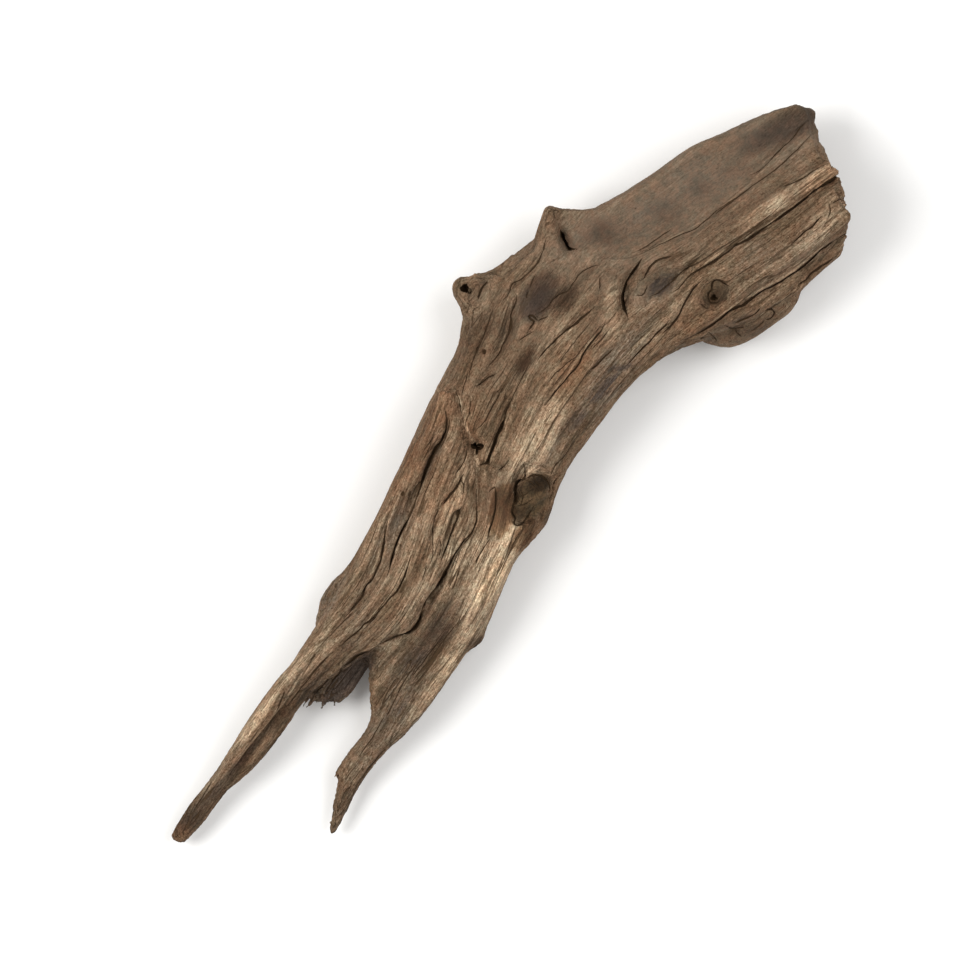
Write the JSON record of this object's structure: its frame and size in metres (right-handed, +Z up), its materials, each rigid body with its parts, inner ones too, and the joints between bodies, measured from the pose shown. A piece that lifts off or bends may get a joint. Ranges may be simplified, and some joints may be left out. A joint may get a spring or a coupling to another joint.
{
  "type": "piece of driftwood",
  "caption": "Weathered driftwood limb with a scooped, broken butt, knots and open splits, forking into slender tines over a short ragged heel.",
  "frame": {"origin": "centre of the bounding box in plan, at the level of the surface that the wood lies on", "axes": "+X along the length, from the tines to the broken butt; +Y towards the side with the horn and the ear; +Z up"},
  "size_m": [0.4836, 0.1612, 0.0622],
  "materials": {
    "weathered_wood": "bare, weathered grey-brown, matt"
  },
  "bodies": {
    "root": {"driftwood": "weathered_wood"}
  },
  "joints": []
}
